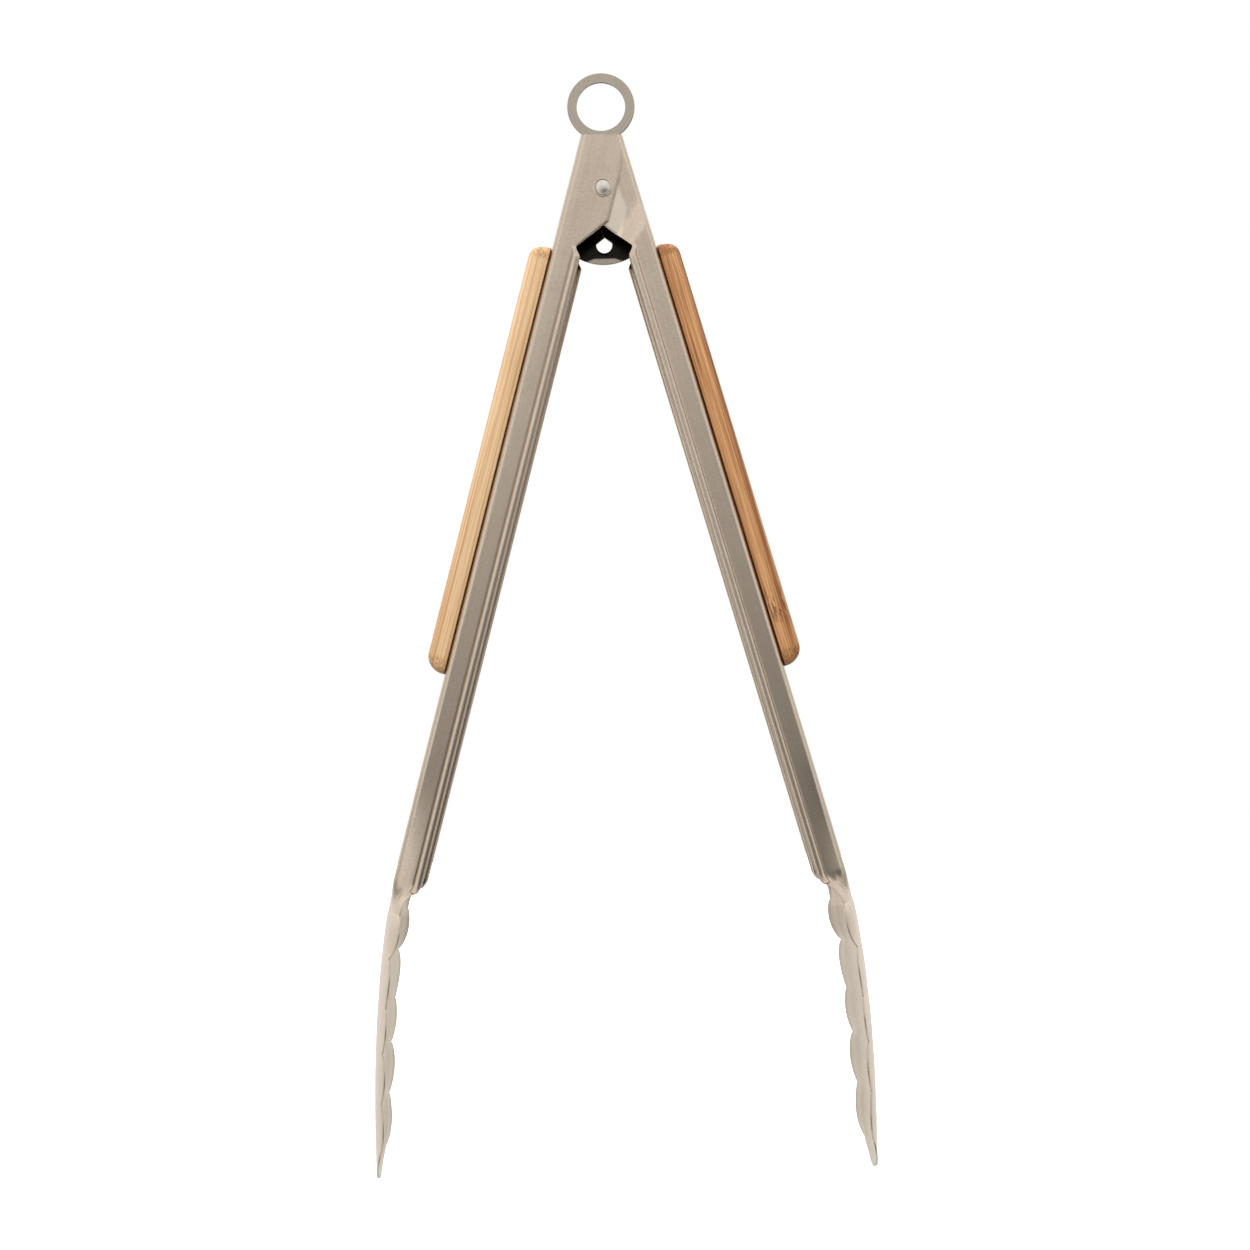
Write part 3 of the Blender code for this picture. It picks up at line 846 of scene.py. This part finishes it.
def build_spring(steel):
    """Two halves of the wire, split at the middle of its path."""
    path = coil_path()
    middle = len(path) // 2
    halves = (
        ("left", path[:middle + 1], COIL_START_Y + 0.1 * MM),
        ("right", path[middle:], COIL_END_Y - 0.1 * MM),
    )
    for side, part, end_y in halves:
        mesh = wire_mesh("spring_" + side, part, WIRE_RADIUS)
        made = add_object("spring_wire_" + side, mesh, steel, Matrix.Translation(PIVOT))
        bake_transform(made)
        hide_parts("torsion_spring")


def build_pivot(bright, dark, steel):
    place = facing_front()
    mesh = rivet_mesh("rivet_turned")
    add_piece(
        "pivot_rivet_turned", mesh, "pivot", bright, place, "pivot_rivet"
    )
    reach = WING_INNER_Y - GAP
    mesh = tube("sleeve_turned", RIVET_RADIUS + GAP, SLEEVE_RADIUS, -reach, reach)
    add_piece(
        "pivot_sleeve_turned", mesh, "pivot", dark, place, "pivot_sleeve"
    )
    near = PLATE / 2 + GAP
    mesh = tube("spacer_turned", SLEEVE_RADIUS + GAP, SPACER_RADIUS, near, reach)
    add_piece(
        "spacer_tube_turned", mesh, "pivot", dark, place, "spacer_tube"
    )
    mesh = coined_ring("rivet_seat_ring")
    add_piece("rivet_seat_ring", mesh, "left_arm", steel, place)
    build_spring(dark)


# ---------------------------------------------------------------- lock plate


def corner_round(points, corner, radius, steps=6):
    """Points of a rounded corner between its two neighbours."""
    before, here, after = (Vector(points[corner + k]) for k in (-1, 0, 1))
    to_before = (before - here).normalized()
    to_after = (after - here).normalized()
    half = 0.5 * to_before.angle(to_after)
    reach = radius / abs(sin(half) / cos(half))
    first = here + to_before * reach
    last = here + to_after * reach
    made = []
    for k in range(steps + 1):
        t = k / steps
        made.append(tuple(first.lerp(here, t).lerp(here.lerp(last, t), t)))
    return made


def plate_outline():
    """Outline of ring, neck, sloping shoulders and round foot, in X and Z."""
    half = []
    start = atan2(-sqrt(RING_RADIUS ** 2 - NECK_HALF_WIDTH ** 2), NECK_HALF_WIDTH)
    steps = 60
    for step in range(steps + 1):
        angle = mix(pi / 2, start, step / steps)
        half.append((RING_RADIUS * cos(angle), RING_HEIGHT + RING_RADIUS * sin(angle)))
    shoulders = [
        half[-1],
        (NECK_HALF_WIDTH, SHOULDER_TOP),
        (FOOT_HALF_WIDTH, SHOULDER_BOTTOM),
        (FOOT_HALF_WIDTH, FOOT_BOTTOM),
    ]
    for corner, radius in enumerate(SHOULDER_ROUNDS, 1):
        half += corner_round(shoulders, corner, radius)
    spread_angle = atan2(FOOT_HALF_WIDTH, sqrt(FOOT_ARC ** 2 - FOOT_HALF_WIDTH ** 2))
    steps = 16
    for step in range(steps + 1):
        angle = spread_angle * (1.0 - step / steps)
        half.append((
            FOOT_ARC * sin(angle), FOOT_BOTTOM + FOOT_ARC * (1.0 - cos(angle)),
        ))
    return half + [(-x, z) for x, z in reversed(half[1:-1])]


def circle_outline(radius, height, steps=96):
    return [
        (radius * cos(2 * pi * k / steps), height + radius * sin(2 * pi * k / steps))
        for k in range(steps)
    ]


def slot_outline(bottom):
    points = []
    for centre, first in ((0.0, 0.0), (bottom, pi)):
        for step in range(25):
            angle = first + pi * step / 24
            points.append((SLOT_RADIUS * cos(angle), centre + SLOT_RADIUS * sin(angle)))
    return points


def inset(outline, distance):
    """Move each point of a closed outline to the left of its direction."""
    count = len(outline)
    moved = []
    for k in range(count):
        before = Vector(outline[k - 1])
        here = Vector(outline[k])
        after = Vector(outline[(k + 1) % count])
        way = ((here - before).normalized() + (after - here).normalized()).normalized()
        moved.append((here.x - way.y * distance, here.y + way.x * distance))
    return moved


def plate_mesh(name, fronts, backs):
    """A stamped plate between its front and back outlines, the first the rim."""
    points = []
    faces = []
    levels = []
    for t in (0.0, 0.25, 0.5, 0.75, 1.0):
        angle = pi / 2 * t
        levels.append((PLATE_ROUND * (1.0 - sin(angle)), PLATE_ROUND * (1.0 - cos(angle))))
    ends = {"front": [], "back": []}
    for number, (front, back) in enumerate(zip(fronts, backs)):
        sign = -1.0 if number == 0 else 1.0
        rings = []
        for side, outline, order in (
            ("front", front, levels), ("back", back, list(reversed(levels))),
        ):
            for pull, depth in order:
                y = -PLATE / 2 + depth if side == "front" else PLATE / 2 - depth
                loop = inset(outline, sign * pull)
                rings.append([len(points) + k for k in range(len(loop))])
                points += [(x, y, z) for x, z in loop]
        count = len(front)
        for here, after in zip(rings, rings[1:]):
            for k in range(count):
                near = (k + 1) % count
                faces.append((here[k], here[near], after[near], after[k]))
        ends["front"].append(rings[0])
        ends["back"].append(rings[-1])
    for loops in ends.values():
        order = [index for loop in loops for index in loop]
        flat = [[Vector((points[i][0], points[i][2], 0.0)) for i in loop] for loop in loops]
        for triangle in tessellate_polygon(flat):
            faces.append(tuple(order[k] for k in triangle))
    mesh = mesh_from(name, points, faces, 28.0)
    flats = set()
    for loops in ends.values():
        for loop in loops:
            for k in range(len(loop)):
                flats.add(frozenset((loop[k], loop[(k + 1) % len(loop)])))
    sharp = mesh.attributes.get("sharp_edge") or mesh.attributes.new(
        "sharp_edge", "BOOLEAN", "EDGE"
    )
    for edge in mesh.edges:
        if frozenset(edge.vertices) in flats:
            sharp.data[edge.index].value = True
    return mesh


def build_plate(steel):
    outline = list(plate_outline())
    hole = circle_outline(RING_HOLE_RADIUS, RING_HEIGHT)
    fronts = [outline, hole, slot_outline(SLOT_BOTTOM)]
    backs = [outline, hole, slot_outline(SLOT_BOTTOM + SLOT_RAMP)]
    mesh = plate_mesh("lock_plate_stamped", fronts, backs)
    add_piece(
        "lock_plate_stamped",
        mesh,
        "pull_ring",
        steel,
        Matrix.Translation(PIVOT),
        "lock_plate",
    )


# ---------------------------------------------------------------- materials


class Nodes:
    """Short way to add and link shader nodes."""

    def __init__(self, tree):
        self.tree = tree

    def add(self, kind, **settings):
        node = self.tree.nodes.new(kind)
        for key, value in settings.items():
            if key in node.inputs:
                self.set(node, key, value)
            else:
                setattr(node, key, value)
        return node

    def set(self, node, socket, value):
        if isinstance(value, bpy.types.NodeSocket):
            self.tree.links.new(value, node.inputs[socket])
        else:
            node.inputs[socket].default_value = value

    def math(self, operation, first, second=0.0):
        node = self.tree.nodes.new("ShaderNodeMath")
        node.operation = operation
        self.set(node, 0, first)
        self.set(node, 1, second)
        return node.outputs[0]

    def noise(self, vector, scale, detail=2.0, roughness=0.5):
        node = self.tree.nodes.new("ShaderNodeTexNoise")
        self.set(node, "Vector", vector)
        self.set(node, "Scale", scale)
        self.set(node, "Detail", detail)
        self.set(node, "Roughness", roughness)
        return node.outputs["Fac"]

    def stretch(self, vector, scale):
        node = self.tree.nodes.new("ShaderNodeMapping")
        self.set(node, "Vector", vector)
        self.set(node, "Scale", scale)
        return node.outputs[0]

    def ramp(self, value, stops):
        node = self.tree.nodes.new("ShaderNodeValToRGB")
        self.set(node, "Fac", value)
        ramp = node.color_ramp
        while len(ramp.elements) < len(stops):
            ramp.elements.new(0.5)
        for element, (place, color) in zip(ramp.elements, stops):
            element.position = place
            if isinstance(color, float):
                color = (color, color, color)
            element.color = (*color, 1.0)
        return node.outputs["Color"]

    def mix_color(self, factor, first, second, blend_type="MIX"):
        node = self.tree.nodes.new("ShaderNodeMix")
        node.data_type = "RGBA"
        node.blend_type = blend_type
        self.set(node, 0, factor)
        self.set(node, 6, first if isinstance(first, bpy.types.NodeSocket) else (*first, 1.0))
        self.set(
            node, 7, second if isinstance(second, bpy.types.NodeSocket) else (*second, 1.0)
        )
        return node.outputs[2]

    def bump(self, height, strength, distance):
        node = self.tree.nodes.new("ShaderNodeBump")
        self.set(node, "Height", height)
        self.set(node, "Strength", strength)
        self.set(node, "Distance", distance)
        return node.outputs["Normal"]


def new_material(name):
    made = bpy.data.materials.new(name)
    made.use_nodes = True
    nodes = Nodes(made.node_tree)
    shader = made.node_tree.nodes["Principled BSDF"]
    place = nodes.add("ShaderNodeAttribute", attribute_name="own_place").outputs["Vector"]
    return made, nodes, shader, place


def plate_shade(nodes, place, color):
    """Painted shade on the plate between the arms; its foot's end is left bright, as if lit
    through the V-cut.
    """
    split = nodes.add("ShaderNodeSeparateXYZ", Vector=place)
    aside = nodes.math("SUBTRACT", nodes.math("ABSOLUTE", split.outputs[0]), SHADE_FLAT)
    aside = nodes.math("MULTIPLY", nodes.math("MAXIMUM", aside, 0.0), SHADE_SLOPE)
    height = nodes.math("ADD", split.outputs[2], aside)
    first, last = PLATE_SHADE[0][0], PLATE_SHADE[-1][0]
    share = nodes.math("DIVIDE", nodes.math("SUBTRACT", height, first), last - first)
    stops = [((z - first) / (last - first), level) for z, level in PLATE_SHADE]
    return nodes.mix_color(1.0, color, nodes.ramp(share, stops), "MULTIPLY")


def painted_sheen(nodes, place, color):
    """Painted sheen: brighten a zone of the inner arm's wings, standing in for a tilted
    facet's brighter reflection.
    """
    split = nodes.add("ShaderNodeSeparateXYZ", Vector=place)
    v = nodes.math("ADD", split.outputs[0], PIVOT_V)
    u = nodes.math("SUBTRACT", PIVOT_U, split.outputs[2])
    depth = None
    for u_at, v_at, slope in SHEEN_LINES:
        line = nodes.math("MULTIPLY", nodes.math("SUBTRACT", u, u_at), slope)
        past = nodes.math("SUBTRACT", nodes.math("SUBTRACT", v, v_at), line)
        depth = past if depth is None else nodes.math("MINIMUM", depth, past)
    share = nodes.math("DIVIDE", nodes.math("ADD", depth, 0.5 * SHEEN_FADE), SHEEN_FADE)
    return nodes.mix_color(nodes.ramp(share, ((0.0, 0.0), (1.0, 1.0))), color, SHEEN_COLOR)


def steel_material(name, light, dark, roughness, grain, change=None):
    """Satin stainless sheet, its grain along the object's own Z axis."""
    made, nodes, shader, place = new_material(name)
    fine = nodes.noise(nodes.stretch(place, (5200.0, 5200.0, 60.0)), 1.0, 2.0)
    broad = nodes.noise(nodes.stretch(place, (900.0, 900.0, 16.0)), 1.0, 3.0, 0.6)
    cloud = nodes.noise(place, 130.0, 3.0)
    mottle = nodes.noise(place, 1700.0, 4.0, 0.75)
    streaks = nodes.math("ADD", nodes.math("MULTIPLY", fine, 0.15),
                         nodes.math("MULTIPLY", broad, 0.22))
    streaks = nodes.math("ADD", streaks, nodes.math("MULTIPLY", cloud, 0.15))
    streaks = nodes.math("ADD", streaks, nodes.math("MULTIPLY", mottle, 0.55))
    color = nodes.ramp(streaks, ((0.4, dark), (0.6, light)))
    if change:
        color = change(nodes, place, color)
    nodes.set(shader, "Base Color", color)
    shader.inputs["Metallic"].default_value = 1.0
    rough = nodes.ramp(streaks, ((0.3, roughness * 1.12), (0.7, roughness * 0.88)))
    nodes.set(shader, "Roughness", rough)
    nodes.set(shader, "Normal", nodes.bump(streaks, grain, 0.02 * MM))
    return made


def bright_steel_material(name, color, roughness):
    """Polished turned steel with faint turning marks about its axis."""
    made, nodes, shader, place = new_material(name)
    split = nodes.add("ShaderNodeSeparateXYZ", Vector=place)
    x, y, z = (split.outputs[k] for k in range(3))
    radius = nodes.math("SQRT", nodes.math(
        "ADD", nodes.math("MULTIPLY", x, x), nodes.math("MULTIPLY", y, y)))
    joined = nodes.add("ShaderNodeCombineXYZ", X=radius, Y=z)
    marks = nodes.noise(joined.outputs[0], 6000.0, 2.0)
    spots = nodes.noise(place, 900.0, 3.0)
    level = nodes.math("ADD", nodes.math("MULTIPLY", marks, 0.5),
                       nodes.math("MULTIPLY", spots, 0.5))
    darker = tuple(0.82 * part for part in color)
    nodes.set(shader, "Base Color", nodes.ramp(level, ((0.35, darker), (0.65, color))))
    shader.inputs["Metallic"].default_value = 1.0
    rough = nodes.ramp(level, ((0.35, roughness * 1.35), (0.65, roughness)))
    nodes.set(shader, "Roughness", rough)
    nodes.set(shader, "Normal", nodes.bump(marks, 0.25, 0.01 * MM))
    return made


def bamboo_material(name, pale, tan, brown, contrast, node_places):
    """Oiled bamboo: long strips, short dark fibres, speckled end grain."""
    made, nodes, shader, place = new_material(name)
    split = nodes.add("ShaderNodeSeparateXYZ", Vector=place)
    height = split.outputs[2]
    strips = nodes.noise(nodes.stretch(place, (900.0, 380.0, 6.0)), 1.0, 2.0, 0.6)
    color = nodes.ramp(strips, ((0.37, brown), (0.48, tan), (0.59, pale)))
    fibre_place = nodes.stretch(place, (3000.0, 3000.0, 45.0))
    fibres = nodes.noise(fibre_place, 1.0, 2.0, 0.55)
    dark_fibres = nodes.ramp(fibres, ((0.38, 0.0), (0.5, 1.0)))
    shaded = tuple(1.0 - contrast * (1.0 - low / high) for low, high in zip(brown, pale))
    color = nodes.mix_color(
        1.0, color, nodes.mix_color(dark_fibres, shaded, (1.0, 1.0, 1.0)), "MULTIPLY")
    top = PIVOT_U - GRIP_START - GRIP_TOP_RADIUS
    bottom = PIVOT_U - GRIP_END + GRIP_BOTTOM_RADIUS
    above = nodes.math("DIVIDE", nodes.math("SUBTRACT", height, top), GRIP_TOP_RADIUS)
    below = nodes.math("DIVIDE", nodes.math("SUBTRACT", bottom, height), GRIP_BOTTOM_RADIUS)
    end_on = nodes.ramp(nodes.math("MAXIMUM", above, below), ((0.0, 0.0), (0.25, 1.0)))
    speckle = nodes.noise(nodes.stretch(place, (2200.0, 2200.0, 1100.0)), 1.0, 1.0)
    speckle = nodes.ramp(speckle, ((0.38, 1.0), (0.5, 0.0)))
    dots = nodes.math("MULTIPLY", speckle, end_on)
    dots = nodes.math("MULTIPLY", dots, 0.75)
    color = nodes.mix_color(nodes.math("MULTIPLY", end_on, 0.5), color, brown)
    color = nodes.mix_color(dots, color, tuple(0.55 * part for part in brown))
    for node_z in node_places:
        color = bamboo_node(nodes, place, height, color, brown, node_z)
    nodes.set(shader, "Base Color", color)
    gloss = nodes.ramp(fibres, ((0.3, 0.62), (0.7, 0.5)))
    nodes.set(shader, "Roughness", gloss)
    shader.inputs["Coat Weight"].default_value = 0.08
    shader.inputs["Coat Roughness"].default_value = 0.35
    grain = nodes.math("ADD", fibres, nodes.math("MULTIPLY", dots, -0.8))
    nodes.set(shader, "Normal", nodes.bump(grain, 0.35, 0.08 * MM))
    return made


def bamboo_node(nodes, place, height, color, brown, node_z):
    """A growth ring across the strips: a soft band with short dark dashes."""
    wave = nodes.noise(nodes.stretch(place, (400.0, 400.0, 0.0)), 1.0, 1.0)
    level = nodes.math("ADD", height, nodes.math("MULTIPLY", wave, 4.0 * MM))
    away = nodes.math("ABSOLUTE", nodes.math("SUBTRACT", level, node_z + 2.0 * MM))
    band = nodes.ramp(nodes.math("MULTIPLY", away, 150.0), ((0.0, 1.0), (1.0, 0.0)))
    dashes = nodes.noise(nodes.stretch(place, (1500.0, 1500.0, 320.0)), 1.0, 1.0)
    dashes = nodes.ramp(dashes, ((0.4, 1.0), (0.47, 0.0)))
    marks = nodes.math("MULTIPLY", nodes.math("MULTIPLY", dashes, band), 0.8)
    return nodes.mix_color(marks, color, tuple(0.35 * part for part in brown))


# ---------------------------------------------------------------- studio


def build_camera():
    data = bpy.data.cameras.new("camera")
    data.sensor_width = 36.0
    data.lens = 83.8
    made = bpy.data.objects.new("camera", data)
    made.location = (2.69 * MM, -812.2 * MM, -173.43 * MM)
    made.rotation_euler = (radians(91.48), radians(1.4), 0.0)
    bpy.context.scene.collection.objects.link(made)
    bpy.context.scene.camera = made


def build_world():
    """White to the eye, with the camera's side darker in reflections."""
    world = bpy.data.worlds.new("studio")
    bpy.context.scene.world = world
    world.use_nodes = True
    nodes = Nodes(world.node_tree)
    shade = world.node_tree.nodes["Background"]
    way = nodes.add("ShaderNodeTexCoord").outputs["Generated"]
    split = nodes.add("ShaderNodeSeparateXYZ", Vector=way)
    spot = Vector((0.2, -0.9, -0.48)).normalized()
    cosine = nodes.add("ShaderNodeVectorMath", operation="DOT_PRODUCT")
    nodes.set(cosine, 0, way)
    nodes.set(cosine, 1, tuple(spot))
    away = nodes.math("SUBTRACT", 1.0, cosine.outputs["Value"])
    level = nodes.ramp(nodes.math("MULTIPLY", away, 0.5), (
        (0.0, 0.04), (0.059, 0.04), (0.086, 0.4), (0.118, 1.1), (0.21, 1.05),
        (0.37, 0.85), (0.59, 0.85), (0.79, 1.12), (1.0, 1.12),
    ))
    tall = nodes.math("ADD", nodes.math("MULTIPLY", split.outputs[2], 0.12), 0.88)
    aside = nodes.ramp(nodes.math("ABSOLUTE", split.outputs[0]), ((0.6, 0.0), (0.9, 1.0)))
    low = nodes.ramp(nodes.math("ADD", split.outputs[2], 0.5), ((0.1, 0.42), (1.0, 0.0)))
    tall = nodes.math("SUBTRACT", tall, nodes.math("MULTIPLY", aside, low))
    light = nodes.mix_color(1.0, level, nodes.ramp(tall, ((0.0, 0.0), (1.0, 1.0))), "MULTIPLY")
    seen = nodes.add("ShaderNodeLightPath").outputs["Is Camera Ray"]
    nodes.set(shade, "Color", nodes.mix_color(seen, light, (1.0, 1.0, 1.0)))
    shade.inputs["Strength"].default_value = 1.0


def build_floor():
    """A plain pale floor far below the hanging tongs."""
    made = bpy.data.materials.new("pale_floor")
    made.use_nodes = True
    shader = made.node_tree.nodes["Principled BSDF"]
    shader.inputs["Base Color"].default_value = (0.9, 0.9, 0.9, 1.0)
    shader.inputs["Roughness"].default_value = 0.9
    shader.inputs["Emission Color"].default_value = (1.0, 1.0, 1.0, 1.0)
    shader.inputs["Emission Strength"].default_value = 1.0
    size = 8.0
    level = -0.65
    corners = [(-size, -size, level), (size, -size, level), (size, size, level),
               (-size, size, level)]
    mesh = bpy.data.meshes.new("floor")
    mesh.from_pydata(corners, [], [(0, 1, 2, 3)])
    mesh.materials.append(made)
    floor = bpy.data.objects.new("floor", mesh)
    bpy.context.scene.collection.objects.link(floor)
    floor.visible_diffuse = False
    floor.visible_glossy = False


def area_light(name, place, target, size, power):
    data = bpy.data.lights.new(name, "AREA")
    data.shape = "RECTANGLE"
    data.size, data.size_y = size
    data.energy = power
    made = bpy.data.objects.new(name, data)
    made.location = place
    way = Vector(target) - Vector(place)
    made.rotation_euler = way.to_track_quat("-Z", "Y").to_euler()
    made.visible_glossy = False
    bpy.context.scene.collection.objects.link(made)


def build_lights():
    middle = (0.0, 0.0, -0.15)
    area_light("softbox_left", (-0.7, -0.7, 1.2), middle, (0.9, 0.9), 13.0)
    area_light("softbox_right", (0.7, -0.7, 1.2), middle, (0.9, 0.9), 9.0)


def main():
    scene = bpy.context.scene
    build_camera()
    scene.view_settings.view_transform = "Standard"
    build_world()
    build_lights()
    build_floor()
    steel = steel_material(
        "brushed_steel_fine", (0.77, 0.64, 0.51), (0.63, 0.525, 0.415), 0.31, 0.25)
    # The inner arm's steel carries a painted sheen on its wings.
    inner_steel = steel_material(
        "painted_sheen_steel_fine", (0.77, 0.64, 0.51), (0.63, 0.525, 0.415), 0.31, 0.25, painted_sheen)
    # The plate's steel carries painted shade between the arms.
    plate_steel = steel_material(
        "stamped_steel_painted_shade", (0.5, 0.435, 0.355), (0.41, 0.355, 0.285), 0.2, 0.2, plate_shade)
    bright = bright_steel_material("polished_steel_fine", (0.95, 0.9, 0.83), 0.38)
    dark = bright_steel_material("spring_steel_fine", (0.34, 0.33, 0.32), 0.3)
    light_bamboo = bamboo_material(
        "bamboo_light_fine", (0.9, 0.63, 0.365), (0.825, 0.53, 0.28), (0.645, 0.36, 0.16),
        0.45, ())
    dark_bamboo = bamboo_material(
        "bamboo_dark_fine", (0.75, 0.4, 0.175), (0.57, 0.265, 0.1), (0.35, 0.135, 0.041),
        0.7, (NODE_PLACE,))
    # Painted shade: a dark copy of the sheet steel for the channel's inner faces near the
    # pivot.
    shaded_inside = steel_material(
        "painted_shade_steel_fine", (0.26, 0.22, 0.18), (0.2, 0.165, 0.135), 0.25, 0.2)
    # Painted shade: a darker copy of the sheet steel for the heads' hollow inner faces.
    shaded_bowl = steel_material(
        "painted_shade_head_steel_fine", (0.67, 0.575, 0.46), (0.55, 0.475, 0.38), 0.33, 0.25)
    build_arms((steel, inner_steel), shaded_inside, shaded_bowl)
    build_grips((("bamboo_light", light_bamboo), ("bamboo_dark", dark_bamboo)))
    build_screws(dark)
    build_pivot(bright, dark, steel)
    build_plate(plate_steel)


main()
